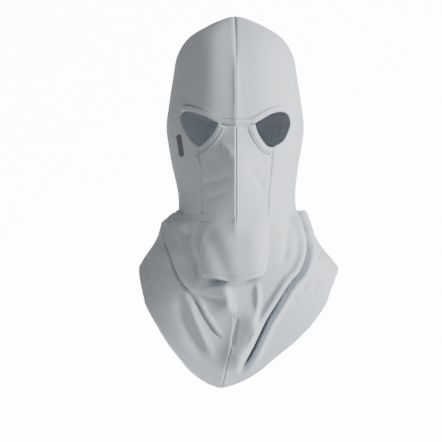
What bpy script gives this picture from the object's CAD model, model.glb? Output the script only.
"""A light grey two-hole balaclava with a bib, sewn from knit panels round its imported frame.

Every piece is worked out from three smooth forms: the hood over the head, the bib below it and
the flap at the chin. A panel is a grid laid on a form and trimmed along its seams. Bindings,
bands, stitches and seam allowances follow the same lines on the same forms, so they meet the
panels exactly. Lengths are metres unless they are said to be millimetres, +Z is up and the face
looks along -Y.
"""

import logging
import math
from dataclasses import dataclass, field
from enum import Enum
from typing import Callable, Sequence

import bpy
import numpy as np
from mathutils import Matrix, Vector


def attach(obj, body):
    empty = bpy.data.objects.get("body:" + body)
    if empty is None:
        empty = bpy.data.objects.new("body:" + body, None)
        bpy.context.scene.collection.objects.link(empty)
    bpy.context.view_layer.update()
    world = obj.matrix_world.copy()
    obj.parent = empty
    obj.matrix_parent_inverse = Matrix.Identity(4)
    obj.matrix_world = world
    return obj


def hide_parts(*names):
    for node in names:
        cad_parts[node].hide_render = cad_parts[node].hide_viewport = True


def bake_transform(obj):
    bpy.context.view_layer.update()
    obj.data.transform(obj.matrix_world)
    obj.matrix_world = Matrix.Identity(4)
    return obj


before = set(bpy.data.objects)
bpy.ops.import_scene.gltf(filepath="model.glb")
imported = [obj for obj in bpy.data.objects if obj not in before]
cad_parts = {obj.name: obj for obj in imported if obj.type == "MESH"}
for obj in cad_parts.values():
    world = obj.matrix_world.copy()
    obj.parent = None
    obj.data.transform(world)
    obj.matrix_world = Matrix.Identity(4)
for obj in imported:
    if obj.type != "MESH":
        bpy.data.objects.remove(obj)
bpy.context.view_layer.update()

LOG = logging.getLogger("balaclava")
MM = 0.001
LEFT, RIGHT = 1.0, -1.0  # the wearer's left is +X
SIDES = (("left", LEFT), ("right", RIGHT))
FRONT_Y = 0.02  # only what lies forward of this counts as seen from the front
EASE = 0.05  # left between two layers that are sewn together, in millimetres
LINE_STEP = 0.6  # between the points of a line that trims follow, in millimetres
TINY = 1e-12  # keeps a division by a length from being one by nothing

Array = np.ndarray
Line2 = Sequence[tuple[float, float]]


# ---------------------------------------------------------------- curves and forms


def smoothstep(low: float, high: float, value: Array) -> Array:
    """Rise smoothly from 0 at low to 1 at high."""
    share = np.clip((value - low) / (high - low), 0.0, 1.0)
    return share * share * (3 - 2 * share)


def bell(value: Array, width: float) -> Array:
    """A bump of height 1 at 0, this wide to either side."""
    return np.exp(-((value / width) ** 2))


def flowing(points: Sequence[Sequence[float]], spans: int = 10) -> Array:
    """A smooth line through points.

    Args:
        points: The points it passes through, in order.
        spans: How many pieces each stretch between two points is divided into.

    Returns:
        The line's points, one row each.
    """
    knots = np.array(points, float)
    knots = np.vstack([2 * knots[0] - knots[1], knots, 2 * knots[-1] - knots[-2]])
    share = np.linspace(0, 1, spans, endpoint=False)[:, None]
    out = []
    for a, b, c, d in zip(knots, knots[1:], knots[2:], knots[3:]):
        out.append(
            0.5 * (2 * b + (c - a) * share + (2 * a - 5 * b + 4 * c - d) * share**2
                   + (3 * b - a - 3 * c + d) * share**3)
        )
    return np.vstack(out + [knots[-2:-1]])


def evenly(line: Array, step: float) -> Array:
    """The same line with its points about a step apart.

    Args:
        line: The line's points.
        step: How far apart they are to be.

    Returns:
        The new points.
    """
    gaps = np.linalg.norm(np.diff(line, axis=0), axis=1)
    along = np.concatenate([[0], np.cumsum(gaps)])
    count = max(int(round(along[-1] / step)), 2)
    at = np.linspace(0, along[-1], count + 1)
    return np.stack([np.interp(at, along, column) for column in line.T], 1)


def turned(line: Array) -> Array:
    """Unit vectors across a flat line, to the right of the way that it runs."""
    way = np.gradient(line, axis=0)
    way /= np.maximum(np.linalg.norm(way, axis=1, keepdims=True), TINY)
    return np.stack([way[:, 1], -way[:, 0]], 1)


def mm(points: Line2) -> Array:
    """Points given in millimetres, in metres."""
    return np.array(points, float) * MM


@dataclass(frozen=True)
class Nearest:
    """How points lie beside a flat line.

    Attributes:
        gap: Distance to the line, positive on the right of the way it runs.
        share: Where along the line the nearest place is, from 0 to 1.
        across: Unit vector at that place, to the right of the line.
    """

    gap: Array
    share: Array
    across: Array


def beside(line: Array, points: Array) -> Nearest:
    """Measure points against a flat line.

    Args:
        line: The line's points.
        points: The points to measure.

    Returns:
        How each point lies beside the line.
    """
    start, step = line[:-1], np.diff(line, axis=0)
    size = (step**2).sum(1)
    rel = points[:, None, :] - start[None]
    along = np.clip((rel * step).sum(2) / np.maximum(size, 1e-18), 0, 1)
    off = rel - along[:, :, None] * step
    apart = (off**2).sum(2)
    pick = apart.argmin(1)
    rows = np.arange(len(points))
    way = step[pick] / np.sqrt(np.maximum(size[pick], 1e-18))[:, None]
    across = np.stack([way[:, 1], -way[:, 0]], 1)
    side = np.sign((off[rows, pick] * across).sum(1))
    side[side == 0] = 1
    share = (pick + along[rows, pick]) / len(step)
    return Nearest(side * np.sqrt(apart[rows, pick]), share, across)


def inside(outline: Array, points: Array) -> Array:
    """Measure how deep points lie in a flat outline.

    Args:
        outline: The outline's corners, without the first one again.
        points: The points to measure.

    Returns:
        Distance into the outline, negative outside it.
    """
    ring = np.vstack([outline, outline[:1]])
    gap = np.abs(beside(ring, points).gap)
    x, z = points[:, 0:1], points[:, 1:2]
    x0, z0, x1, z1 = ring[:-1, 0], ring[:-1, 1], ring[1:, 0], ring[1:, 1]
    rise = np.where(z1 == z0, 1e-12, z1 - z0)
    crosses = ((z0 > z) != (z1 > z)) & (x < (x1 - x0) * (z - z0) / rise + x0)
    return np.where(crosses.sum(1) % 2 == 1, gap, -gap)


@dataclass
class Form:
    """A smooth form given by level rings, for one half of the body.

    Attributes:
        rings: For each ring its height, then its reach to the front ridge, forward at the cheek,
            out to the side and back, in metres.
        ridge_angle: How sharply the two halves meet at the front, in degrees.
        peak_y: Where the top closes, for a form whose last ring is a point.
        upper: The form that it runs on from.
        joins: Between which turns this starts, from none to all of it.
        join: Over what height that form turns into this one.
        lip: How far the cloth reaches up over the other form at the sides and back.
        cheek_share: How far out along a ring its cheek lies, as a share of its side.
        cheek_bend: How fast a ring turns back at the cheek.
        table: Many rings between the given ones.
    """

    rings: Sequence[tuple[float, float, float, float, float]]
    ridge_angle: float
    peak_y: float = 0.0
    upper: "Form | None" = None
    joins: tuple[float, float] = (-1.0, -0.5)
    join: float = 0.024
    lip: float = 0.0
    cheek_share: float = 0.46
    cheek_bend: float = 0.52
    table: Array = field(init=False)

    def __post_init__(self) -> None:
        """Work out many rings between the given ones."""
        self.table = evenly(flowing(self.rings, 24), 0.6 * MM)
        self.table[:, 1:] = np.maximum(self.table[:, 1:], 0)

    def level(self, height: Array) -> Array:
        """How far along the form heights lie.

        Args:
            height: The heights.

        Returns:
            The place of each, from 0 at the first ring to 1 at the last.
        """
        heights = self.table[:, 0]
        order = 1 if heights[-1] > heights[0] else -1
        share = np.linspace(0, 1, len(heights))
        return np.interp(height, heights[::order], share[::order])

    def columns(self, step: float) -> Array:
        """Places round a ring.

        Args:
            step: About how far apart they are.

        Returns:
            The places, from the front at 0 to the back at 3.
        """
        turn = np.linspace(0, 3, 400)
        widest = self.table[:, 3].argmax() / (len(self.table) - 1)
        ring = self.bare(np.full_like(turn, widest), turn)
        gaps = np.linalg.norm(np.diff(ring, axis=0), axis=1)
        along = np.concatenate([[0], np.cumsum(gaps)])
        return np.interp(np.linspace(0, along[-1], int(along[-1] / step) + 1), along, turn)

    def bare(self, level: Array, turn: Array) -> Array:
        """Points of the form itself.

        Args:
            level: From 0 at the first ring to 1 at the last.
            turn: From 0 at the front, through 1 at the cheek and 2 at the side, to 3 at the back.

        Returns:
            One point in each row, on the wearer's left.
        """
        share = np.linspace(0, 1, len(self.table))
        z, front, cheek, side, back = (np.interp(level, share, c) for c in self.table.T)
        zero = np.zeros_like(z)
        knots = np.stack([
            np.stack([zero, -front], 1), np.stack([self.cheek_share * side, -cheek], 1),
            np.stack([side, zero], 1), np.stack([zero, back], 1),
        ])
        ridge = math.radians(self.ridge_angle)
        slant = np.stack([side, self.cheek_bend * cheek], 1)
        slant *= 1.08
        leave = (
            0.47 * side[:, None] * np.array([math.cos(ridge), math.sin(ridge)]),
            slant,
            np.stack([zero, 1.657 * back], 1),
        )
        arrive = (
            0.47 * slant, np.stack([zero, 1.27 * cheek], 1), np.stack([-1.657 * side, zero], 1)
        )
        piece = np.clip(turn.astype(int), 0, 2)
        u = (turn - piece)[:, None]
        rows = np.arange(len(turn))
        a, b = knots[piece, rows], knots[piece + 1, rows]
        m = np.stack(leave)[piece, rows]
        n = np.stack(arrive)[piece, rows]
        flat = (
            (2 * u**3 - 3 * u**2 + 1) * a + (u**3 - 2 * u**2 + u) * m
            + (-2 * u**3 + 3 * u**2) * b + (u**3 - u**2) * n
        )
        if self.upper:
            start = self.table[0, 0]
            above = self.upper.bare(self.upper.level(z), turn)[:, :2]
            beyond = smoothstep(1.5, 1.85, turn) if self.lip else turn * 0
            share = 1 - smoothstep(0, self.join, start - z)
            share = (share * smoothstep(*self.joins, turn) * (1 - beyond))[:, None]
            flat = flat + (above - flat) * share
            z = z + self.lip * (1 - smoothstep(0, 0.6 * self.join, start - z)) * beyond
        top = self.table[-1, 1] == 0
        lean = self.peak_y * smoothstep(0.55, 1.0, level) if top else 0.0
        return np.stack([flat[:, 0], flat[:, 1] + lean, z], 1)

    def normal(self, level: Array, turn: Array) -> Array:
        """Find which way the form faces.

        Args:
            level: Places along it.
            turn: Places round it.

        Returns:
            A unit vector out of it at each place, on the wearer's left.
        """
        tiny = 1e-3
        low, high = np.clip(level - tiny, 0, 1), np.clip(level + tiny, 0, 1)
        up = self.bare(high, turn) - self.bare(low, turn)
        before, after = np.clip(turn - tiny, 0, 3), np.clip(turn + tiny, 0, 3)
        round_ = self.bare(level, after) - self.bare(level, before)
        out = np.cross(round_, up) if self.table[-1, 0] > self.table[0, 0] else np.cross(up, round_)
        return out / np.maximum(np.linalg.norm(out, axis=1, keepdims=True), 1e-15)

    def find(self, spots: Array) -> tuple[Array, Array]:
        """Where on the front of the form each place seen from the front lies.

        Args:
            spots: Distance out from the middle, and height, of each place.

        Returns:
            The level and the turn of each.
        """
        level = self.level(spots[:, 1])
        low, high = np.zeros(len(spots)), np.full(len(spots), 2.0)
        for _ in range(22):
            middle = (low + high) / 2
            short = self.bare(level, middle)[:, 0] < spots[:, 0]
            low, high = np.where(short, middle, low), np.where(short, high, middle)
        return level, (low + high) / 2


# ---------------------------------------------------------------- folds and the cloth they lie in


class FoldKind(Enum):
    """What a fold does to the cloth beside its line."""

    DENT = "a hollow along the line"
    RIDGE = "a rise along the line"
    STEP = "the cloth on the left of the line stands higher"
    TUCK = "the cloth on the left hangs over a crease on the right"
    TRENCH = "the cloth on the left drops into a deep hollow on the right"


@dataclass(frozen=True)
class Fold:
    """One fold, drawn as a line on the cloth seen from the front, in millimetres.

    Attributes:
        path: Points that the line passes through: distance to the wearer's left, and height.
        kind: What it does to the cloth.
        width: How far to each side it reaches.
        depth: How deep or high it is.
        overhang: How far a tuck's edge reaches over its hollow.
        ends: Shares of the line over which it fades in and out.
    """

    path: Line2
    kind: FoldKind
    width: float
    depth: float
    overhang: float = 0.0
    ends: tuple[float, float] = (0.25, 0.25)

    def apply(self, points: Array, facing: Array) -> Array:
        """Work out how far the fold moves each point.

        Args:
            points: Points of the cloth.
            facing: Unit vectors out of the cloth.

        Returns:
            The move of each point.
        """
        move = np.zeros_like(points)
        line = flowing(mm(self.path), 8)
        reach = 4.2 * self.width * MM
        low, high = line.min(0) - reach, line.max(0) + reach
        spots = points[:, [0, 2]]
        near = ((spots > low) & (spots < high)).all(1)
        near &= (facing[:, 1] < 0.5) & (points[:, 1] < 0.03)
        if not near.any():
            return move
        at = beside(line, spots[near])
        gap = at.gap / (self.width * MM)
        head, tail = self.ends
        fade = smoothstep(0, head + 1e-6, at.share) * (1 - smoothstep(1 - tail - 1e-6, 1, at.share))
        fade *= 1 - smoothstep(-0.006, 0.028, points[near, 1])
        slide = np.zeros_like(gap)
        if self.kind is FoldKind.DENT:
            rise = -bell(gap, 1.0)
        elif self.kind is FoldKind.RIDGE:
            rise = bell(gap, 1.0)
        elif self.kind is FoldKind.STEP:
            rise = 0.5 * (1 - np.tanh(2.2 * gap)) * bell(np.minimum(gap, 0), 2.6)
        elif self.kind is FoldKind.TUCK:
            rise = 0.32 * bell(gap + 0.55, 0.75) - bell(gap - 0.62, 0.52)
            slide = self.overhang * bell(gap + 0.12, 0.42) * MM
        else:
            rise = 0.17 * bell(gap + 0.5, 0.6) - bell(gap - 0.8, 0.43) + 0.15 * bell(gap - 2.0, 0.7)
            slide = self.overhang * bell(gap + 0.05, 0.35) * MM
        out = facing[near] * (rise * self.depth * MM * fade)[:, None]
        out[:, [0, 2]] += at.across * (slide * fade)[:, None]
        move[near] = out
        return move


@dataclass
class Cloth:
    """A form with its folds, from which every piece on it takes its shape.

    Attributes:
        form: The smooth form.
        folds: Its folds, in order.
        centre_seam: Heights, and how deep the crease along the middle is at each, in
            millimetres.
        drift: How far sideways the front hangs: at each height, the shifts of the edge on the
            wearer's right, of the middle and of the edge on the left, in millimetres.
    """

    form: Form
    folds: Sequence[Fold] = ()
    centre_seam: Line2 = ((0.0, 0.0),)
    drift: Sequence[tuple[float, float, float, float]] = ((0.0, 0.0, 0.0, 0.0),)

    def place(self, level: Array, turn: Array, side: Array | float, out: Array | float = 0.0) -> Array:
        """Points of the folded cloth.

        Args:
            level: Place along the form, from 0 to 1.
            turn: Place round the form, from 0 at the front to 3 at the back.
            side: LEFT or RIGHT, for each point.
            out: How far out of the cloth the points lie.

        Returns:
            One point in each row.
        """
        flip = np.ones((len(level), 3))
        flip[:, 0] = side
        bare = self.form.bare(level, turn)
        points = bare * flip
        facing = self.form.normal(level, turn) * flip
        facing[:, 0] *= 0.15 + 0.85 * smoothstep(0, 2.5 * MM, bare[:, 0])
        facing /= np.maximum(np.linalg.norm(facing, axis=1, keepdims=True), TINY)
        heights, *shifts = mm(self.drift).T
        right, middle, left = (np.interp(-points[:, 2], -heights, shift) for shift in shifts)
        edge = smoothstep(0.015, 0.095, np.abs(points[:, 0]))
        shift = middle + (np.where(points[:, 0] < 0, right, left) - middle) * edge
        points[:, 0] += shift * (1 - smoothstep(0.0, 0.07, points[:, 1]))
        heights, depths = mm(self.centre_seam).T
        crease = np.interp(-points[:, 2], -heights, depths) * bell(bare[:, 0], 0.8 * MM)
        moves = -facing * crease[:, None]
        for fold in self.folds:
            moves += fold.apply(points, facing)
        return points + moves + facing * np.broadcast_to(out, len(level))[:, None]

    def at_front(self, spots: Array, out: Array | float = 0.0) -> Array:
        """Points of the folded front.

        Args:
            spots: Where they are seen from the front.
            out: How far out of the cloth they lie.

        Returns:
            One point in each row.
        """
        level, turn = self.form.find(np.abs(spots) * [1, 0] + spots * [0, 1])
        return self.place(level, turn, np.where(spots[:, 0] < 0, RIGHT, LEFT), out)


# ---------------------------------------------------------------- meshes


@dataclass
class Sheet:
    """Faces with their corners, being trimmed and then laid on a cloth.

    Attributes:
        level: Each corner's place along the form.
        turn: Each corner's place round the form.
        faces: Corner numbers of each face.
    """

    level: Array
    turn: Array
    faces: list[tuple[int, ...]]

    @classmethod
    def grid(cls, levels: Array, turns: Array) -> "Sheet":
        """A grid of faces, from rows of levels and columns of turns or from both at each corner."""
        if levels.ndim == 1:
            levels, turns = np.meshgrid(levels, turns, indexing="ij")
        rows, columns = levels.shape
        level, turn = levels.ravel(), turns.ravel()
        faces = [
            (i * columns + j, i * columns + j + 1, (i + 1) * columns + j + 1, (i + 1) * columns + j)
            for i in range(rows - 1)
            for j in range(columns - 1)
        ]
        return cls(level, turn, faces)

    def trim(self, form: Form, room: Callable[[Array], Array]) -> None:
        """Cut the faces along a line and drop what lies beyond it.

        Args:
            form: The form that the sheet lies on.
            room: Gives, for points of the bare form on the wearer's left, the distance to the
                line, negative beyond it.
        """
        value = room(form.bare(self.level, self.turn))
        level, turn = list(self.level), list(self.turn)
        cuts: dict[tuple[int, int], int] = {}

        def cut(a: int, b: int) -> int:
            """The corner where the line crosses one edge."""
            key = (min(a, b), max(a, b))
            if key not in cuts:
                share = value[key[0]] / (value[key[0]] - value[key[1]])
                cuts[key] = len(level)
                level.append(level[key[0]] + share * (level[key[1]] - level[key[0]]))
                turn.append(turn[key[0]] + share * (turn[key[1]] - turn[key[0]]))
            return cuts[key]

        kept = []
        for face in self.faces:
            keep = [value[v] >= 0 for v in face]
            if all(keep):
                kept.append(face)
            elif any(keep):
                corners: list[int] = []
                for a, b, inside_a, inside_b in zip(
                    face, face[1:] + face[:1], keep, keep[1:] + keep[:1]
                ):
                    if inside_a:
                        corners.append(a)
                    if inside_a != inside_b:
                        corners.append(cut(a, b))
                if len(corners) > 2:
                    kept.append(tuple(corners))
        used = sorted({v for face in kept for v in face})
        number = {v: i for i, v in enumerate(used)}
        self.level, self.turn = np.array(level)[used], np.array(turn)[used]
        self.faces = [tuple(number[v] for v in face) for face in kept]


def corner_normals(points: Array, faces: Sequence[tuple[int, ...]]) -> Array:
    """Find which way a mesh faces at its corners.

    Args:
        points: Its corners.
        faces: Its faces.

    Returns:
        A unit vector out of it at each corner.
    """
    total = np.zeros_like(points)
    for size in {len(f) for f in faces}:
        ring = np.array([f for f in faces if len(f) == size])
        at = points[ring]
        area = np.cross(at, np.roll(at, -1, axis=1)).sum(1)
        for k in range(size):
            np.add.at(total, ring[:, k], area)
    return total / np.maximum(np.linalg.norm(total, axis=1, keepdims=True), 1e-15)


def thickened(
    points: Array, faces: list[tuple[int, ...]], inwards: float
) -> tuple[Array, list[tuple[int, ...]]]:
    """Give a sheet of faces a second side and closed edges.

    Args:
        points: Corners of the outer side.
        faces: The outer side, turned outwards.
        inwards: The thickness, laid inside it.

    Returns:
        The corners and faces of the closed sheet.
    """
    count = len(points)
    inner = points - corner_normals(points, faces) * inwards
    edges = {}
    for face in faces:
        for a, b in zip(face, face[1:] + face[:1]):
            edges[(a, b)] = True
    rim = [(b, a, a + count, b + count) for a, b in edges if (b, a) not in edges]
    back = [tuple(v + count for v in reversed(face)) for face in faces]
    return np.vstack([points, inner]), faces + back + rim


def make_object(
    name: str, points: Array, faces: Sequence[Sequence[int]], knit: Array | None = None
) -> bpy.types.Object:
    """Make a smooth mesh object.

    Args:
        name: The piece's name.
        points: Its corners.
        faces: Corner numbers of each face.
        knit: Where each corner lies on the flat cloth, for the knit's pattern.

    Returns:
        The object, in the scene.
    """
    mesh = bpy.data.meshes.new(name)
    mesh.from_pydata(points.tolist(), [], [list(f) for f in faces])
    mesh.shade_smooth()
    if knit is not None:
        layer = mesh.attributes.new("knit", "FLOAT_VECTOR", "POINT")
        layer.data.foreach_set("vector", knit.astype(np.float32).ravel())
    obj = bpy.data.objects.new(name, mesh)
    bpy.context.scene.collection.objects.link(obj)
    return obj


def sewn(
    name: str, cloth: Cloth, sheets: dict[float, Sheet], thickness: float, out: float = 0.0
) -> bpy.types.Object:
    """Lay trimmed sheets on their cloth and make them one piece.

    Args:
        name: The piece's name.
        cloth: The cloth that it lies on.
        sheets: Its faces on each side, LEFT or RIGHT.
        thickness: How thick it is.
        out: How far out of the cloth its outer side lies.

    Returns:
        The new object.
    """
    form = cloth.form
    ascending = form.table[-1, 0] > form.table[0, 0]
    length = np.linalg.norm(np.diff(form.table[:, [0, 3]], axis=0), axis=1).sum()
    points, faces, knit, start = [], [], [], 0
    for side, sheet in sheets.items():
        points.append(cloth.place(sheet.level, sheet.turn, side, out))
        outward = (side == LEFT) == ascending
        faces += [
            tuple(v + start for v in (face if outward else reversed(face))) for face in sheet.faces
        ]
        girth = side * np.interp(sheet.turn, [0, 1, 2, 3], [0, 0.036, 0.131, 0.256])
        knit.append(np.stack([girth, sheet.level * length, girth * 0], 1))
        start += len(sheet.level)
    corners, flat = np.vstack(points), np.vstack(knit)
    if len(sheets) > 1:
        corners, faces, flat = joined_at_middle(corners, faces, flat)
    solid, closed = thickened(corners, faces, thickness)
    return make_object(name, solid, closed, np.vstack([flat, flat]))


def joined_at_middle(
    points: Array, faces: list[tuple[int, ...]], knit: Array
) -> tuple[Array, list[tuple[int, ...]], Array]:
    """Merge the corners that two halves share along the middle.

    Args:
        points: The corners of both halves.
        faces: Their faces.
        knit: Where each corner lies on the flat cloth.

    Returns:
        The corners, faces and flat places of the joined piece.
    """
    keys: dict[tuple[int, int, int], int] = {}
    number, kept = [], []
    for i, point in enumerate(np.round(points / (0.02 * MM)).astype(int).tolist()):
        key = tuple(point)
        if key not in keys:
            keys[key] = len(kept)
            kept.append(i)
        number.append(keys[key])
    out = []
    for face in faces:
        ring = [number[v] for v in face]
        ring = [v for v, after in zip(ring, ring[1:] + ring[:1]) if v != after]
        if len(ring) > 2:
            out.append(tuple(ring))
    return points[kept], out, knit[kept]


# ---------------------------------------------------------------- trims and stitches


@dataclass(frozen=True)
class Track:
    """A line on the cloth with its directions.

    Attributes:
        points: The line's points.
        out: Unit vectors out of the cloth.
        across: Unit vectors along the cloth, across the line.
    """

    points: Array
    out: Array
    across: Array

    @classmethod
    def on(cls, points: Array, lifted: Array) -> "Track":
        """A track from two lines.

        Args:
            points: A line on the cloth.
            lifted: The same line a little off the cloth.

        Returns:
            The track along the first.
        """
        out = lifted - points
        out /= np.maximum(np.linalg.norm(out, axis=1, keepdims=True), TINY)
        way = np.gradient(points, axis=0)
        across = np.cross(way, out)
        across /= np.maximum(np.linalg.norm(across, axis=1, keepdims=True), TINY)
        return cls(points, out, across)

    @classmethod
    def in_front(cls, cloth: Cloth, line: Array, aside: float = 0.0, out: float = 0.0) -> "Track":
        """A track along a line seen from the front.

        Args:
            cloth: The cloth that it lies on.
            line: The line.
            aside: How far the track is moved to the line's right.
            out: How far out of the cloth it lies.

        Returns:
            The track.
        """
        spots = line + turned(line) * aside
        return cls.on(cloth.at_front(spots, out), cloth.at_front(spots, out + MM))

    @classmethod
    def round_form(cls, cloth: Cloth, level: Array, turn: Array, side: Array, out: float) -> "Track":
        """A track through places on the form."""
        return cls.on(
            cloth.place(level, turn, side, out), cloth.place(level, turn, side, out + MM)
        )


def banded(rows: Sequence[Array], loop: bool = False) -> tuple[Array, list[tuple[int, ...]]]:
    """Faces between rows of points that close on themselves, with capped ends.

    Args:
        rows: For each point round the section, its line along the band.
        loop: Whether the band's two ends meet.

    Returns:
        The corners and faces.
    """
    section, length = len(rows), len(rows[0])
    points = np.stack(rows, 1).reshape(-1, 3)
    faces = []
    for i in range(length if loop else length - 1):
        j = (i + 1) % length
        for k in range(section):
            n = (k + 1) % section
            faces.append((i * section + k, i * section + n, j * section + n, j * section + k))
    if not loop:
        faces.append(tuple(reversed(range(section))))
        faces.append(tuple((length - 1) * section + k for k in range(section)))
    return points, faces


def outward_faces(points: Array, faces: list[tuple[int, ...]]) -> list[tuple[int, ...]]:
    """Turn the faces of a closed mesh so that they face out.

    Args:
        points: Its corners.
        faces: Its faces, which agree with each other.

    Returns:
        The faces, all reversed where they faced in.
    """
    volume = 0.0
    for face in faces:
        a = points[face[0]]
        for b, c in zip(face[1:], face[2:]):
            volume += float(np.dot(a, np.cross(points[b], points[c])))
    return faces if volume > 0 else [tuple(reversed(f)) for f in faces]


@dataclass(frozen=True)
class Binding:
    """A strip folded over the edge of a panel.

    Attributes:
        width: How far it covers the outside.
        inner: How far it covers the inside.
        rows: How far from the edge each row of stitching presses it in.
        thickness: Its own thickness.
        panel: Thickness of the panel inside it.
        sink: Over what length its ends sink into the cloth.
    """

    width: float = 7.5
    inner: float = 6.0
    rows: tuple[float, ...] = (4.8, 6.9)
    thickness: float = 0.9
    panel: float = 1.6
    sink: float = 3.0

    def section(self) -> list[tuple[float, float]]:
        """Points round the strip: distance in from the edge, and height off the panel."""
        top = self.thickness
        low = -self.panel - self.thickness
        outer = [(self.width + 0.1, 0.02), (self.width, 0.45 * top)]
        for spot in np.arange(self.width - 0.4, 0.2, -0.35):
            press = sum(math.exp(-(((spot - row) / 0.6) ** 2)) for row in self.rows)
            puff = 0.16 * math.sin(math.pi * min(spot / self.width, 1.0))
            outer.append((float(spot), top + puff - 0.7 * press))
        nose = [
            (-0.35 - 0.75 * math.sin(a), (top + low) / 2 + (top - low) / 2 * math.cos(a))
            for a in np.linspace(0.15, math.pi - 0.15, 9)
        ]
        inner = [(0.6, low), (self.inner, low), (self.inner + 0.3, -self.panel - 0.05)]
        return outer + nose + inner + [(0.35, -self.panel - 0.05), (0.35, 0.02)]

    def along(
        self, cloth: Cloth, line: Array, into: float, ripple: float = 0.05
    ) -> tuple[Array, list[tuple[int, ...]], Array]:
        """The strip along an edge.

        Args:
            cloth: The cloth that it is sewn to.
            line: The edge, seen from the front.
            into: 1 where the panel lies on the right of the line, -1 on its left.
            ripple: How far the strip's puckers stand up, in millimetres.

        Returns:
            Its corners, its faces and where they lie on the flat strip.
        """
        away = turned(line) * into
        along = np.concatenate([[0], np.cumsum(np.linalg.norm(np.diff(line, axis=0), axis=1))])
        pucker = np.sin(along / (3.1 * MM) * math.tau) * np.sin(along / (11.3 * MM) + 1.0)
        rows, flat = [], []
        ends = smoothstep(0, self.sink * MM, np.minimum(along, along[-1] - along) + 1e-6)
        for spot, height in self.section():
            lift = height + (ripple * pucker if height > 0.3 else 0.0)
            lift = lift - (1 - ends) * (self.thickness + 0.4 if height > -self.panel else 0.0)
            rows.append(cloth.at_front(line + away * spot * MM, lift * np.ones(len(line)) * MM))
            flat.append(np.stack([along, np.full_like(along, spot * MM), along * 0], 1))
        points, faces = banded(rows)
        return points, outward_faces(points, faces), np.stack(flat, 1).reshape(-1, 3)


@dataclass(frozen=True)
class Stitching:
    """A row of lockstitch, in millimetres.

    Attributes:
        length: One stitch.
        gap: Between two stitches, where the thread goes through the cloth.
        thread: Its thickness.
    """

    length: float = 2.4
    gap: float = 0.5
    thread: float = 0.6

    def along(self, track: Track) -> tuple[Array, list[tuple[int, ...]]]:
        """Single stitches, each a thread that rises from the cloth and dives back.

        Args:
            track: The line they follow.

        Returns:
            Their corners and faces.
        """
        gaps = np.linalg.norm(np.diff(track.points, axis=0), axis=1)
        place = np.concatenate([[0], np.cumsum(gaps)])
        pitch = (self.length + self.gap) * MM
        rings, sides = 7, 6
        points, faces = [], []
        for i in range(int(place[-1] / pitch)):
            start = i * pitch + 0.5 * self.gap * MM
            at = np.linspace(start, start + self.length * MM, rings)
            middle, out, across = (
                np.stack([np.interp(at, place, c) for c in part.T], 1)
                for part in (track.points, track.out, track.across)
            )
            arch = np.sin(np.linspace(0, math.pi, rings)) ** 0.6
            middle = middle + out * ((0.75 * arch - 0.55) * self.thread * MM)[:, None]
            thick = (0.35 + 0.65 * arch) * self.thread / 2 * MM
            for k in range(rings):
                for a in range(sides):
                    angle = math.tau * a / sides
                    turn = across[k] * math.cos(angle) + out[k] * math.sin(angle)
                    points.append(middle[k] + turn * thick[k])
            first = len(points) - rings * sides
            for k in range(rings - 1):
                for a in range(sides):
                    b = (a + 1) % sides
                    low, high = first + k * sides, first + (k + 1) * sides
                    faces.append((low + a, low + b, high + b, high + a))
            faces.append(tuple(first + a for a in reversed(range(sides))))
            faces.append(tuple(first + (rings - 1) * sides + a for a in range(sides)))
        return np.array(points), faces


@dataclass(frozen=True)
class Allowance:
    """An overlocked seam allowance on the inside of a seam, in millimetres.

    Attributes:
        width: How wide it is.
        height: How far it stands in from the cloth.
        loop: Between two loops of its thread.
    """

    width: float = 5.0
    height: float = 1.2
    loop: float = 2.2

    def along(self, track: Track) -> tuple[Array, list[tuple[int, ...]]]:
        """A flat ridge with the overlock's loops over its edges.

        Args:
            track: The line it follows.

        Returns:
            Its corners and faces.
        """
        place = np.concatenate(
            [[0], np.cumsum(np.linalg.norm(np.diff(track.points, axis=0), axis=1))]
        )
        loops = 0.12 * np.cos(place / (self.loop * MM) * math.tau)
        rows = []
        for angle in np.linspace(0, math.tau, 12, endpoint=False):
            wide = math.copysign(abs(math.cos(angle)) ** 0.6, math.cos(angle)) * self.width / 2
            high = math.copysign(abs(math.sin(angle)) ** 0.6, math.sin(angle)) * self.height / 2
            away = track.across * (wide * (1 + loops) * MM)[:, None]
            deep = track.out * ((high - self.height / 2) * (1 + loops) * MM)[:, None]
            rows.append(track.points + away + deep)
        points, faces = banded(rows)
        return points, outward_faces(points, faces)


def merged(
    parts: Sequence[tuple[Array, list[tuple[int, ...]]]]
) -> tuple[Array, list[tuple[int, ...]]]:
    """Join meshes.

    Args:
        parts: The corners and faces of each.

    Returns:
        The corners and faces of them all.
    """
    points, faces, start = [], [], 0
    for corner, face in parts:
        points.append(corner)
        faces += [tuple(v + start for v in f) for f in face]
        start += len(corner)
    return np.vstack(points), faces


# ---------------------------------------------------------------- finishes


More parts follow.
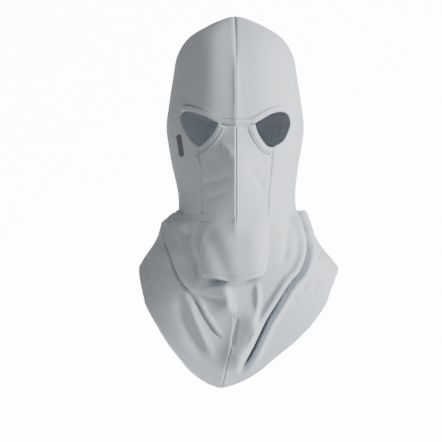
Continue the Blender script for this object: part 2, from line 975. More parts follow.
@dataclass(frozen=True)
class Value:
    """An output of a shader node, or a constant, that can be calculated with.

    Attributes:
        nodes: The material's nodes.
        source: The output socket, a number or a colour.
    """

    nodes: "Shader"
    source: "bpy.types.NodeSocket | float | tuple[float, ...]"

    @property
    def is_wide(self) -> bool:
        """Whether this is a colour or vector rather than one number."""
        if isinstance(self.source, bpy.types.NodeSocket):
            return self.source.type in ("VECTOR", "RGBA")
        return isinstance(self.source, tuple)

    def _calculate(self, operation: str, first: "Term", second: "Term") -> "Value":
        """Join two terms with a Math or Vector Math node."""
        first, second = self.nodes.value(first), self.nodes.value(second)
        kind = "ShaderNodeVectorMath" if first.is_wide or second.is_wide else "ShaderNodeMath"
        return self.nodes.add(kind, {"operation": operation}, {0: first, 1: second})

    def __add__(self, other: "Term") -> "Value":
        """This value and another, added."""
        return self._calculate("ADD", self, other)

    def __radd__(self, other: "Term") -> "Value":
        """Another term and this value, added."""
        return self._calculate("ADD", other, self)

    def __mul__(self, other: "Term") -> "Value":
        """This value times another."""
        return self._calculate("MULTIPLY", self, other)

    def __rmul__(self, other: "Term") -> "Value":
        """Another term times this value."""
        return self._calculate("MULTIPLY", other, self)

    def __pow__(self, other: "Term") -> "Value":
        """This value to a power."""
        return self._calculate("POWER", self, other)

    def __rpow__(self, other: "Term") -> "Value":
        """Another term to the power of this value."""
        return self._calculate("POWER", other, self)

    def sine(self) -> "Value":
        """The sine of this value."""
        return self.nodes.add("ShaderNodeMath", {"operation": "SINE"}, {0: self})

    def size(self) -> "Value":
        """This value without its sign."""
        return self.nodes.add("ShaderNodeMath", {"operation": "ABSOLUTE"}, {0: self})

    def blended(self, low: "Term", high: "Term") -> "Value":
        """Blend two colours, low where this value is 0 and high where it is 1."""
        return self.nodes.add(
            "ShaderNodeMix", {"data_type": "RGBA"}, {"Factor": self, "A": low, "B": high}, "Result"
        )


Term = Value | float | tuple[float, ...]


class Shader:
    """The nodes of one material, with its surface shader."""

    def __init__(self, name: str) -> None:
        """Start an empty material."""
        self.material = bpy.data.materials.new(name)
        self.material.use_nodes = True
        self.tree = self.material.node_tree
        self.tree.nodes.clear()
        self.surface = self.tree.nodes.new("ShaderNodeBsdfPrincipled")
        output = self.tree.nodes.new("ShaderNodeOutputMaterial")
        self.tree.links.new(self.surface.outputs[0], output.inputs["Surface"])

    def value(self, term: Term) -> Value:
        """A term as a value of this material."""
        return term if isinstance(term, Value) else Value(self, term)

    def put(self, socket: bpy.types.NodeSocket, term: Term) -> None:
        """Link a value to an input, or set the input to a constant."""
        source = self.value(term).source
        if isinstance(source, bpy.types.NodeSocket):
            self.tree.links.new(source, socket)
        elif socket.type == "RGBA":
            socket.default_value = (*source, 1.0)
        else:
            wide = socket.type == "VECTOR"
            one_number = not isinstance(source, tuple)
            socket.default_value = (source,) * 3 if wide and one_number else source

    def add(
        self,
        kind: str,
        settings: dict[str, object] | None = None,
        inputs: "dict[int | str, Term] | None" = None,
        output: int | str = 0,
    ) -> Value:
        """Add a node.

        Args:
            kind: The node's type.
            settings: Its settings.
            inputs: Values for its inputs, by name or number.
            output: The output to go on with.

        Returns:
            That output.
        """
        node = self.tree.nodes.new(kind)
        for key, setting in (settings or {}).items():
            setattr(node, key, setting)
        for key, term in (inputs or {}).items():
            sockets = [s for s in node.inputs if s.enabled]
            pick = sockets[key] if isinstance(key, int) else next(s for s in sockets if s.name == key)
            self.put(pick, term)
        outputs = [s for s in node.outputs if s.enabled]
        pick = outputs[output] if isinstance(output, int) else next(
            s for s in outputs if s.name == output
        )
        return Value(self, pick)

    def set(self, **inputs: Term) -> None:
        """Set inputs of the surface shader, with _ for the spaces in their names."""
        for key, term in inputs.items():
            self.put(self.surface.inputs[key.replace("_", " ")], term)

    def separate(self, vector: Value) -> tuple[Value, Value]:
        """The first two coordinates of a vector."""
        first = self.add("ShaderNodeSeparateXYZ", {}, {0: vector}, "X")
        second = Value(self, first.source.node.outputs["Y"])
        return first, second


@dataclass(frozen=True)
class Knit:
    """Fine weft knit.

    Attributes:
        colour: Its colour.
        wale: Distance between two columns of loops, in metres.
        course: Distance between two rows of loops, in metres.
        relief: How far the loops stand up, in metres.
        sheen: How much its fuzz catches the light.
    """

    colour: tuple[float, float, float] = (0.600, 0.632, 0.672)
    wale: float = 0.00095
    course: float = 0.00075
    relief: float = 0.00008
    sheen: float = 0.18

    def make(self, name: str) -> bpy.types.Material:
        """Make the material."""
        shader = Shader(name)
        place = shader.add("ShaderNodeAttribute", {"attribute_name": "knit"}, {}, "Vector")
        wobble = shader.add(
            "ShaderNodeTexNoise", {}, {"Vector": place, "Scale": 900.0, "Detail": 2.0}, 0
        )
        across, along = shader.separate(place)
        wales = (across * (math.pi / self.wale) + wobble * 1.6).sine().size()
        slant = wales * 1.3
        courses = (along * (math.tau / self.course) + slant + wobble * 2.2).sine()
        loops = wales**0.7 * 0.65 + courses * 0.2 + wobble * 0.35
        mottle = shader.add(
            "ShaderNodeTexNoise", {}, {"Vector": place, "Scale": 46.0, "Detail": 5.0}, 0
        )
        darker = tuple(0.94 * c for c in self.colour)
        lighter = tuple(min(1.03 * c, 1.0) for c in self.colour)
        shade = mottle * 0.7 + loops * 0.3
        relief = shader.add(
            "ShaderNodeBump", {}, {"Strength": 0.55, "Distance": self.relief, "Height": loops}
        )
        shader.set(
            Base_Color=shade.blended(darker, lighter),
            Roughness=0.92,
            Sheen_Weight=self.sheen,
            Sheen_Roughness=0.55,
            Normal=relief,
        )
        shader.surface.inputs["Specular IOR Level"].default_value = 0.21
        return shader.material


@dataclass(frozen=True)
class Yarn:
    """Thread or cloth bound in thread.

    Attributes:
        colour: Its colour.
        roughness: Its roughness.
        twist: Distance between two turns of its strands, in metres.
    """

    colour: tuple[float, float, float]
    roughness: float = 0.75
    twist: float = 0.0005

    def make(self, name: str) -> bpy.types.Material:
        """Make the material."""
        shader = Shader(name)
        place = shader.add("ShaderNodeTexCoord", {}, {}, "Object")
        strands = shader.add(
            "ShaderNodeTexNoise", {}, {"Vector": place, "Scale": 0.5 / self.twist, "Detail": 2.0}, 0
        )
        darker = tuple(0.85 * c for c in self.colour)
        relief = shader.add(
            "ShaderNodeBump", {}, {"Strength": 0.4, "Distance": 0.0001, "Height": strands}
        )
        shader.set(
            Base_Color=strands.blended(darker, self.colour),
            Roughness=self.roughness,
            Normal=relief,
        )
        return shader.material


@dataclass(frozen=True)
class Backdrop:
    """Plain matt paper, which may glow evenly.

    Attributes:
        colour: Its colour.
        glow: How brightly it glows.
    """

    colour: tuple[float, float, float] = (0.85, 0.85, 0.85)
    glow: float = 0.0

    def make(self, name: str) -> bpy.types.Material:
        """Make the material."""
        shader = Shader(name)
        shader.set(Base_Color=self.colour, Roughness=0.95)
        shader.surface.inputs["Specular IOR Level"].default_value = 0.1
        if self.glow:
            shader.set(Emission_Color=(1.0, 1.0, 1.0), Emission_Strength=self.glow)
        return shader.material


Finish = Knit | Yarn | Backdrop


@dataclass
class Wardrobe:
    """Finishes by the material slot they belong to, each made once."""

    finishes: dict[str, Finish]
    made: dict[str, bpy.types.Material] = field(default_factory=dict)

    def dress(self, obj: bpy.types.Object, slot: str, shown: str | None = None) -> None:
        """Give an object its finish.

        Args:
            obj: The object.
            slot: Its material slot.
            shown: Another finish to show under that slot.
        """
        key = shown or slot
        if key not in self.made:
            self.made[key] = self.finishes[key].make(key)
        obj.data.materials.append(self.made[key])


# ---------------------------------------------------------------- lines of the face


@dataclass(frozen=True)
class EyeShape:
    """One eye opening and the seam below it, on the wearer's left, in millimetres.

    Attributes:
        brow: Its upper edge, from the nose out.
        temple: Its edge on the temple, from the outer corner down.
        lash: Its edge on the mask, from the lowest place up to the nose.
        seam: The seam of the mask, from the eye down to the chin.
    """

    brow: Line2
    temple: Line2
    lash: Line2
    seam: Line2

    def line(self, name: str, step: float = LINE_STEP) -> Array:
        """One of its lines, in metres, with points a step of millimetres apart."""
        return evenly(flowing(mm(getattr(self, name))), step * MM)

    def opening(self) -> Array:
        """The closed outline of the opening."""
        return np.vstack([self.line("brow")[:-1], self.line("temple")[:-1], self.line("lash")[:-1]])

    def mask(self) -> Array:
        """The closed outline of half the mask."""
        bridge = mm([(0, BRIDGE_DROP), self.brow[0]])
        corner = mm([(-1, self.seam[-1][1])])
        return np.vstack([
            mm([(-1, BRIDGE_DROP)]), bridge, self.line("lash")[::-1][1:-1], self.line("seam"), corner,
        ])


BRIDGE_DROP = 1.5
NECK = -95.0
CHIN = -105.0
EYES = {
    LEFT: EyeShape(
        brow=((19.2, 2.6), (28.4, 8.2), (38.3, 14), (48.3, 17), (55, 17)),
        temple=((55, 17), (60, 12.6), (61.8, 4.8), (60, -3.8), (53.7, -16.2), (41.1, -25)),
        lash=((41.1, -25), (33.2, -23.4), (27, -16.4), (22.2, -8), (19.2, 2.6)),
        seam=((41.1, -25), (40.5, -34), (38.5, -53), (36, -76), (35, CHIN)),
    ),
    RIGHT: EyeShape(
        brow=((17.2, 2.4), (24.5, 6.4), (33.8, 11.4), (46, 16.2), (55.9, 18.6), (60.9, 17.4)),
        temple=((60.9, 17.4), (62.8, 11), (60.2, 1), (52.8, -12.8), (43.2, -23.4)),
        lash=((43.2, -23.4), (36.2, -22.6), (26.2, -13.2), (21.5, -5.8), (17.2, 2.4)),
        seam=((43.2, -23.4), (40, -36), (39.7, -48), (38, -74), (37.6, CHIN)),
    ),
}


def mirrored(line: Array, side: float) -> Array:
    """A line of the wearer's left, on either side."""
    return line * [side, 1]


def seen_from_left(outline: Array) -> Callable[[Array], Array]:
    """The distance beyond an outline, for points of a bare form.

    Args:
        outline: The outline seen from the front, on the wearer's left.

    Returns:
        A function that measures points, with all that isn't at the front beyond the outline.
    """

    def room(points: Array) -> Array:
        """How far outside the outline each point lies."""
        out = -inside(outline, points[:, [0, 2]])
        return np.where(points[:, 1] < FRONT_Y, out, 1.0)

    return room


# ---------------------------------------------------------------- the pieces


@dataclass
class Maker:
    """Attributes:
        wardrobe: The finishes.
        made: The pieces made so far, by the name of the CAD node that each replaces.
    """

    wardrobe: Wardrobe
    made: dict[str, bpy.types.Object] = field(default_factory=dict)

    def keep(
        self,
        obj: bpy.types.Object,
        node: str,
        slot: str,
        body: str | None = "hood",
        shown: str | None = None,
    ) -> None:
        """Dress a piece and put it in place of its CAD node.

        Args:
            obj: The piece.
            node: The CAD node.
            slot: Its material slot.
            body: The body it rides on, or None where it is blended between two.
            shown: Another finish to show under the slot.
        """
        self.wardrobe.dress(obj, slot, shown)
        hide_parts(node)
        if body:
            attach(obj, body)
        self.made[node] = obj
        LOG.info("%s: %d faces", node, len(obj.data.polygons))

    def trim(self, mesh: tuple[Array, list, Array] | tuple[Array, list], node: str, slot: str) -> None:
        """Make and keep a trim from its corners, faces and, for knit, flat places."""
        obj = make_object(f"soft_{node}", *mesh)
        self.keep(obj, node, slot)

    def cloth(
        self,
        node: str,
        flat: tuple[float, float],
        area: float,
        held: str,
        pieces: Sequence[str],
    ) -> None:
        """Declare a piece as a sheet of cloth.

        Args:
            node: The CAD node that it replaces.
            flat: Its length and width when it lies flat.
            area: Its area when it lies flat.
            held: How it is held.
            pieces: The nodes of the trims that go with it.
        """


@dataclass
class Hood:
    """The hood over the head: side panels, mask and the seams' allowances inside.

    Attributes:
        cloth: The cloth of the head.
        thickness: Thickness of the knit.
        step: Size of the side panels' faces.
        mask_step: Size of the mask's faces.
        mask_top: Height that its grid reaches up to before it is trimmed.
    """

    cloth: Cloth
    thickness: float = 1.6
    step: float = 1.4
    mask_step: float = 0.95
    mask_top: float = 0.02

    def build(self, maker: Maker) -> None:
        """Make its panels and allowances."""
        form = self.cloth.form
        low = float(form.level(np.array([CHIN * MM]))[0])
        neck = float(form.level(np.array([NECK * MM]))[0])
        rows = np.linspace(neck, 1.0, int(310 / self.step))
        turns = np.unique(np.concatenate([form.columns(self.step * MM), [1.0, 2.0]]))
        top = float(form.level(np.array([self.mask_top]))[0])
        mask_rows = np.linspace(low, top, int(125 / self.mask_step))
        mask_turns = np.concatenate([
            [0, 0.009, 0.018, 0.028, 0.04, 0.055], np.linspace(0.075, 1.35, int(61 / self.mask_step))
        ])
        for name, side in SIDES:
            eye = EYES[side]
            panel = Sheet.grid(rows, turns)
            panel.trim(form, seen_from_left(eye.mask()))
            panel.trim(form, seen_from_left(eye.opening()))
            obj = sewn(
                f"soft_side_panel_{name}", self.cloth, {side: panel}, self.thickness * MM
            )
            maker.keep(obj, f"side_panel_{name}", "hood_knit")
            mask = Sheet.grid(mask_rows, mask_turns)
            outside = seen_from_left(eye.mask())
            mask.trim(form, lambda points: -outside(points))
            obj = sewn(f"soft_mask_panel_{name}", self.cloth, {side: mask}, self.thickness * MM)
            maker.keep(obj, f"mask_panel_{name}", "hood_knit")
        self.build_allowances(maker)

    def build_allowances(self, maker: Maker) -> None:
        """Make the overlocked allowances of its seams."""
        form, inner = self.cloth.form, -(self.thickness + EASE) * MM
        seam = Allowance()
        crown = seam.along(self.middle(form, 9.0, 127.0, inner))
        maker.trim(crown, "crown_seam_overlock", "overlock")
        heights = np.arange(CHIN, -2.0, 0.8) * MM
        level = form.level(heights)
        mask = Track.round_form(self.cloth, level, level * 0, LEFT, inner)
        maker.trim(seam.along(mask), "mask_seam_overlock", "overlock")
        for name, side in SIDES:
            line = mirrored(EYES[side].line("seam", 0.8), side)
            line = line[(line[:, 1] < -0.034) & (line[:, 1] > (NECK + 1) * MM)]
            track = Track.in_front(self.cloth, line, 0.0, inner)
            maker.trim(seam.along(track), f"side_seam_overlock_{name}", "overlock")
        turns = np.linspace(1.35, 2.97, 180)
        halves = []
        for side in (LEFT, RIGHT):
            level = np.full_like(turns, float(form.level(np.array([(NECK + 2.5) * MM]))[0]))
            halves.append(seam.along(Track.round_form(self.cloth, level, turns, side, inner)))
        maker.trim(merged(halves), "neck_seam_overlock", "overlock")

    def middle(self, form: Form, low: float, high: float, out: float) -> Track:
        """The middle line from the forehead over the crown to the neck.

        Args:
            form: The head's form.
            low: Height where it starts, in millimetres.
            high: Height where it turns over the crown, in millimetres.
            out: How far out of the cloth it lies.

        Returns:
            The track along it.
        """
        up = np.linspace(*form.level(np.array([low, high]) * MM), 150)
        down = np.linspace(*form.level(np.array([high, NECK + 6]) * MM), 230)
        level = np.concatenate([up, down[1:]])
        turn = np.concatenate([up * 0, down[1:] * 0 + 3])
        return Track.round_form(self.cloth, level, turn, LEFT, out)


@dataclass
class EyeTrims:
    """The brow band, the bindings, the turned edges and their stitching.

    Attributes:
        cloth: The cloth of the head.
        band: The band over both eye openings.
        edge: The binding along each side of the mask.
        turned_edge: The edge turned in on the temple side of an opening.
        stitching: The stitches of them all.
    """

    cloth: Cloth
    band: Binding = Binding(width=5.9, rows=(5.0,), thickness=1.3, sink=7.0)
    edge: Binding = Binding(rows=(4.9, 6.9), thickness=1.1)
    turned_edge: Binding = Binding(width=1.1, inner=7.0, rows=(), thickness=0.16, sink=2.0)
    stitching: Stitching = Stitching()

    def build(self, maker: Maker) -> None:
        """Make its pieces."""
        start, end = EYES[RIGHT].brow[0], EYES[LEFT].brow[0]
        bridge = flowing(mm([(-start[0], start[1]), (-8, BRIDGE_DROP), (9, BRIDGE_DROP), end]))
        brow = np.vstack([
            mirrored(EYES[RIGHT].line("brow"), RIGHT)[::-1],
            evenly(bridge, LINE_STEP * MM)[1:-1],
            EYES[LEFT].line("brow"),
        ])
        brow = evenly(brow, LINE_STEP * MM)
        maker.trim(self.band.along(self.cloth, brow, -1), "brow_band", "trim_knit")
        row = Track.in_front(self.cloth, brow[8:-12], -5.0 * MM, 1.0 * MM)
        maker.trim(self.stitching.along(row), "brow_topstitch", "thread")
        for name, side in SIDES:
            eye = EYES[side]
            lash = mirrored(eye.line("lash"), side)
            maker.trim(
                self.edge.along(self.cloth, lash, -side), f"eye_binding_{name}", "trim_knit"
            )
            rows = [
                self.stitching.along(Track.in_front(
                    self.cloth, lash[5:-6], -side * away * MM, 0.85 * MM
                ))
                for away in self.edge.rows
            ]
            maker.trim(merged(rows), f"eye_topstitch_{name}", "thread")
            temple = mirrored(eye.line("temple"), side)
            maker.trim(
                self.turned_edge.along(self.cloth, temple, -side, 0.0),
                f"eye_facing_{name}", "trim_knit",
            )


@dataclass(frozen=True)
class HemShape:
    """The hem seen from the front or the back, in millimetres.

    Attributes:
        half_width: Its furthest reach to the side.
        side: How far below the eyes it is there.
        front: How far below the eyes its lowest place is in front.
        back: The same behind.
        split: Where, front to back, it changes from one to the other.
        shift: How much less the side moves than the rest when the hem is moved in.
        roundness: How full its curve is.
    """

    half_width: float = 115.0
    side: float = 157.0
    front: float = 285.0
    back: float = 214.0
    split: float = 12.0
    shift: float = 0.7
    roundness: float = 1.5

    def above(self, points: Array, inset: float) -> Array:
        """Tell which points of a bare form are above the hem.

        Args:
            points: The points, on the wearer's left.
            inset: How far the hem is moved in, in millimetres.

        Returns:
            Whether each is above it.
        """
        width = self.half_width - self.shift * inset
        side = self.side - self.shift * inset
        drop = np.where(points[:, 1] < self.split * MM, self.front, self.back)
        depth = drop - inset - side
        share = np.clip(points[:, 0] / (width * MM), 0, 1)
        edge = -side - depth * (1 - share**self.roundness) ** (1 / self.roundness)
        return (points[:, 0] < width * MM) & (points[:, 2] > edge * MM)

    def level(self, form: Form, turn: Array, inset: float) -> Array:
        """Find the hem on the form.

        Args:
            form: The bib's form.
            turn: Places round it.
            inset: How far the hem is moved in, in millimetres.

        Returns:
            How far down the form it lies at each place.
        """
        low, high = np.zeros_like(turn), np.ones_like(turn)
        for _ in range(24):
            middle = (low + high) / 2
            above = self.above(form.bare(middle, turn), inset)
            low, high = np.where(above, middle, low), np.where(above, high, middle)
        return low


@dataclass
class Bib:
    """The bib over neck, chest and shoulders, with its hem.

    Attributes:
        cloth: The cloth of the bib.
        hem: Its hem's shape.
        thickness: Thickness of the knit.
        step: Size of its faces.
        turn_up: Width of the turned hem.
        stitch: How far from the edge the hem is stitched.
    """

    cloth: Cloth
    hem: HemShape = HemShape()
    thickness: float = 1.6
    step: float = 1.1
    turn_up: float = 14.0
    stitch: float = 10.5

    def build(self, maker: Maker) -> None:
        """Make its panels, hem and allowances."""
        form = self.cloth.form
        turns = np.unique(np.concatenate([
            [0.012, 0.025, 0.04], np.linspace(0, 1, 72), np.linspace(1, 2, 118),
            np.linspace(2, 3, 96),
        ]))
        share = np.linspace(0, 1, 172)[:, None]
        edge = self.hem.level(form, turns, 0.0)
        levels = share * edge[None]
        grid = np.broadcast_to(turns, levels.shape)
        for name, side in SIDES:
            seam = evenly(flowing(mm(BIB_SEAMS[side])), 2 * MM)

            def beyond(points: Array, seam: Array = seam) -> Array:
                """How far towards the side each point lies from the seam."""
                gap = -beside(seam, points[:, [0, 2]]).gap
                return np.where(points[:, 1] < FRONT_Y, gap, 1.0)

            for node, sign in ((f"neck_front_{name}", -1), (f"bib_side_{name}", 1)):
                sheet = Sheet.grid(levels, grid)
                sheet.trim(form, lambda points: sign * beyond(points))
                obj = sewn(f"soft_{node}", self.cloth, {side: sheet}, self.thickness * MM)
                maker.keep(obj, node, "hood_knit")
        self.build_hem(maker)
        self.build_allowances(maker)

    def track(self, inset: float, out: float, count: int = 560) -> Track:
        """The closed line round the bib.

        Args:
            inset: How far above the hem, in millimetres.
            out: How far out of the cloth.
            count: How many points each half has.

        Returns:
            The track along it.
        """
        half = np.linspace(0, 3, count)
        turn = np.concatenate([half, half[::-1][1:]])
        side = np.where(np.arange(len(turn)) < count, LEFT, RIGHT)
        level = self.hem.level(self.cloth.form, turn, inset)
        return Track.round_form(self.cloth, level, turn, side, out)

    def build_hem(self, maker: Maker) -> None:
        """Make the turned hem, which closes over the edge, and its stitching."""
        binding = Binding(width=0.9, inner=self.turn_up, rows=(), thickness=0.14)
        rows, flat = [], []
        for inset, height in binding.section():
            track = self.track(max(inset, 0.0), height * MM)
            away = min(inset, 0.0) * MM
            down = self.track(0.4, height * MM).points - self.track(0.0, height * MM).points
            down /= np.maximum(np.linalg.norm(down, axis=1, keepdims=True), TINY)
            rows.append((track.points + down * away)[:-1])
            along = np.arange(len(rows[-1])) * 1.3 * MM
            flat.append(np.stack([along, np.full_like(along, inset * MM), along * 0], 1))
        points, faces = banded(rows, loop=True)
        mesh = points, outward_faces(points, faces), np.stack(flat, 1).reshape(-1, 3)
        maker.trim(mesh, "bib_hem", "trim_knit")
        row = self.track(self.stitch, 0.0)
        obj = make_object("soft_hem_topstitch", *Stitching(thread=0.45).along(row))
        maker.keep(obj, "hem_topstitch", "thread", shown="hem_thread")

    def build_allowances(self, maker: Maker) -> None:
        """Make the overlocked allowances of its seams."""
        form, inner, seam = self.cloth.form, -(self.thickness + EASE) * MM, Allowance()
        for name, turn in (("front", 0.0), ("back", 3.0)):
            last = float(self.hem.level(form, np.array([turn]), self.turn_up)[0])
            level = np.linspace(0.0, last, 200)
            track = Track.round_form(self.cloth, level, np.full_like(level, turn), LEFT, inner)
            maker.trim(seam.along(track), f"bib_{name}_seam_overlock", "overlock")
        for name, side in SIDES:
            line = evenly(flowing(mm(BIB_SEAMS[side])), 1 * MM)
            level, turn = form.find(line)
            line = line[self.hem.above(form.bare(level, turn), self.turn_up) & (turn < 1.98)]
            track = Track.in_front(self.cloth, mirrored(line, side), 0.0, inner)
            maker.trim(seam.along(track), f"bib_side_seam_overlock_{name}", "overlock")


BIB_SEAMS = {
    LEFT: ((34, -92), (37, -100), (50, -140), (66, -191), (82, -212), (100, -240), (120, -275)),
    RIGHT: (
        (34, -92), (37, -100), (58, -122), (78, -138), (86, -152), (93, -169), (110, -200),
        (125, -240),
    ),
}


@dataclass
class ChinFlap:
    """The two-layer flap that hangs from the mask at the chin.

    Attributes:
        cloth: The cloth it hangs along.
        outline: Its outline seen from the front, from its top on the wearer's left, in
            millimetres.
        layer: Thickness of each layer.
        step: Size of its faces.
        inset: How far from the edge it is stitched.
    """

    cloth: Cloth
    outline: Line2
    layer: float = 1.1
    step: float = 0.9
    inset: float = 5.0

    def half(self, side: float, inset: float = 0.0) -> Array:
        """One half of the outline.

        Args:
            side: LEFT or RIGHT.
            inset: How far it is moved in, in millimetres.

        Returns:
            Its corners, brought over to the wearer's left and closed past the middle.
        """
        spots = evenly(flowing(mm(self.outline)), 0.5 * MM)
        spots = spots + turned(spots) * inset * MM
        spots = spots * [side, 1]
        keep = spots[spots[:, 0] > -0.0002]
        order = keep if keep[0, 1] > keep[-1, 1] else keep[::-1]
        return np.vstack([order, mm([(-3, order[-1, 1] / MM), (-3, order[0, 1] / MM)])])

    def build(self, maker: Maker) -> None:
        """Make its layers and its stitching."""
        form = self.cloth.form
        rows = np.linspace(0, 1, int(68 / self.step))
        turns = np.linspace(0, 1.4, int(66 / self.step))
        layers = (("chin_flap_panel", 0.0), ("chin_flap_lining", self.layer + EASE))
        for node, depth in layers:
            sheets = {}
            for side in (LEFT, RIGHT):
                sheet = Sheet.grid(rows, turns)
                outside = seen_from_left(self.half(side, 0.15 if depth else 0.0))
                sheet.trim(form, lambda points: -outside(points))
                sheets[side] = sheet
            obj = sewn(f"soft_{node}", self.cloth, sheets, self.layer * MM, -depth * MM)
            self.hang(obj, maker, node, "hood_knit")
        line = evenly(flowing(mm(self.outline)), LINE_STEP * MM)
        line = (line + turned(line) * self.inset * MM)[16:-16]
        mesh = Stitching().along(Track.in_front(self.cloth, line, 0.0, 0.0))
        obj = make_object("soft_chin_flap_topstitch", *mesh)
        self.hang(obj, maker, "chin_flap_topstitch", "thread")

    def hang(self, obj: bpy.types.Object, maker: Maker, node: str, slot: str) -> None:
        """Keep a piece that bends from the chin down to the flap's body.

        Args:
            obj: The piece.
            maker: What keeps it.
            node: The CAD node that it replaces.
            slot: Its material slot.
        """
        maker.keep(obj, node, slot, None, "hem_thread" if slot == "thread" else None)
        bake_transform(obj)


@dataclass
class Details:
    """The patch on the temple and the bar tacks.

    Attributes:
        cloth: The cloth they lie on.
        place: The patch's middle, in millimetres.
        size: Its length and width.
        lean: How far it leans, in degrees.
        thickness: Its thickness.
    """

    cloth: Cloth
    place: tuple[float, float] = (-61.0, -20.5)
    size: tuple[float, float] = (25.0, 5.5)
    lean: float = 9.0
    thickness: float = 0.45

    def build(self, maker: Maker) -> None:
        """Make the pieces."""
        maker.trim(self.patch(), "temple_patch", "patch")
        tacks = []
        for side in (LEFT, RIGHT):
            x, z = EYES[side].seam[0]
            tacks.append(self.tack(np.array([side * (x - 1.4), z - 9.5]), (3.6, 1.6)))
        tacks.append(self.tack(np.array([-1.0, CHIN + 3.0]), (1.8, 5.0)))
        obj = make_object("soft_bar_tacks", *merged(tacks))
        maker.keep(obj, "bar_tacks", "thread", shown="hem_thread")

    def patch(self) -> tuple[Array, list[tuple[int, ...]]]:
        """A flat oblong with round ends, laid on the cloth."""
        length, width = self.size
        lean = math.radians(self.lean)
        along = np.array([-math.sin(lean), math.cos(lean)])
        across = np.array([along[1], -along[0]])
        s = np.linspace(-length / 2, length / 2, 60)
        beyond = np.clip((np.abs(s) - (length - width) / 2) / (width / 2), 0, 1)
        half = np.sqrt(np.clip(1 - beyond**2, 0.003, 1))
        rows = []
        tops = [
            (-1, -0.2), (-1, 0.7), (-0.93, 1), (-0.5, 1), (0, 1), (0.5, 1), (0.93, 1), (1, 0.7),
            (1, -0.2), (0, -0.3),
        ]
        for share, height in tops:
            spots = (
                np.array(self.place) + along * s[:, None] + across * (share * half * width / 2)[:, None]
            )
            rows.append(self.cloth.at_front(spots * MM, height * self.thickness * MM))
        points, faces = banded(rows)
        return points, outward_faces(points, faces)

    def tack(self, middle: Array, size: tuple[float, float]) -> tuple[Array, list[tuple[int, ...]]]:
        """Close rows of thread over a small oblong.

        Args:
            middle: Its middle seen from the front, in millimetres.
            size: How wide and how high it is, in millimetres.

        Returns:
            The corners and faces.
        """
        wide = size[0] > size[1]
        length, width = max(size), min(size)
        stitch = Stitching(length=width, gap=0.05, thread=0.5)
        rows = []
        for s in np.arange(-length / 2, length / 2, 0.5):
            t = np.linspace(-width / 2 - 0.1, width / 2 + 0.1, 8)
            spots = np.stack([t * 0 + s, t + 0.1 * math.sin(9 * s)], 1)
            spots = middle + (spots if wide else spots[:, ::-1])
            rows.append(stitch.along(Track.in_front(self.cloth, spots * MM, 0.0, 0.1 * MM)))
        return merged(rows)


# ---------------------------------------------------------------- the studio


@dataclass
class Studio:
    """Paper backdrop, soft lights and the camera.

    Attributes:
        eye: Where the camera is.
        lens: Its focal length in millimetres, on a 36 mm wide sensor.
        floor: Height of the floor.
    """

    eye: tuple[float, float, float] = (-0.0161, -1.6, -0.1035)
    lens: float = 113.4
    floor: float = -0.7

    def build(self, wardrobe: Wardrobe) -> None:
        """Set the studio up."""
        self.backdrop(wardrobe)
        self.light("key", (1.72, -0.86, 0.42), (0.0, 0.0, -0.08), 0.6, 80.0)
        self.light("fill", (-1.3, -1.4, 0.5), (0.0, 0.0, -0.08), 1.5, 0.6)
        self.light("top", (0.1, -0.2, 1.5), (0.0, 0.0, 0.0), 0.9, 4.0)
        self.world()
        camera = bpy.data.objects.new("camera", bpy.data.cameras.new("camera"))
        bpy.context.scene.collection.objects.link(camera)
        camera.location = self.eye
        camera.rotation_euler = (math.pi / 2, 0, 0)
        camera.data.lens, camera.data.sensor_width = self.lens, 36.0
        camera.data.clip_start, camera.data.clip_end = 0.02, 50.0
        bpy.context.scene.camera = camera

    def backdrop(self, wardrobe: Wardrobe) -> None:
        """Lay a wide pale floor, and hang a bright paper screen behind the object."""
        far, low, high, half, y = 6.0, self.floor + 0.005, 0.55, 0.62, 1.9
        floor = make_object(
            "studio_floor",
            np.array([(-far, -far, self.floor), (far, -far, self.floor), (far, far, self.floor),
                      (-far, far, self.floor)]),
            [(0, 1, 2, 3)],
        )
        screen = make_object(
            "studio_screen",
            np.array([(-half, y, low), (half, y, low), (half, y, high), (-half, y, high)]),
            [(0, 1, 2, 3)],
        )
        for obj, finish in ((floor, "paper"), (screen, "screen")):
            obj.data.materials.append(wardrobe.finishes[finish].make(finish))

    def light(
        self, name: str, place: Sequence[float], aim: Sequence[float], size: float, power: float
    ) -> None:
        """Add a square soft light.

        Args:
            name: Its name.
            place: Where it is.
            aim: What it points at.
            size: Length of its side.
            power: Its power in watts.
        """
        lamp = bpy.data.lights.new(name, "AREA")
        lamp.shape, lamp.size, lamp.energy = "SQUARE", size, power
        lamp.color = (0.95, 0.975, 1.0)
        obj = bpy.data.objects.new(name, lamp)
        bpy.context.scene.collection.objects.link(obj)
        obj.location = place
        obj.rotation_euler = (Vector(aim) - Vector(place)).to_track_quat("-Z", "Y").to_euler()

    def world(self) -> None:
        """Fill the shadows with even light."""
        world = bpy.data.worlds.new("world")
        bpy.context.scene.world = world
        world.use_nodes = True
        background = world.node_tree.nodes["Background"]
        background.inputs["Color"].default_value = (1.0, 1.0, 1.0, 1.0)
        background.inputs["Strength"].default_value = 0.21


# ---------------------------------------------------------------- the object's shapes and folds


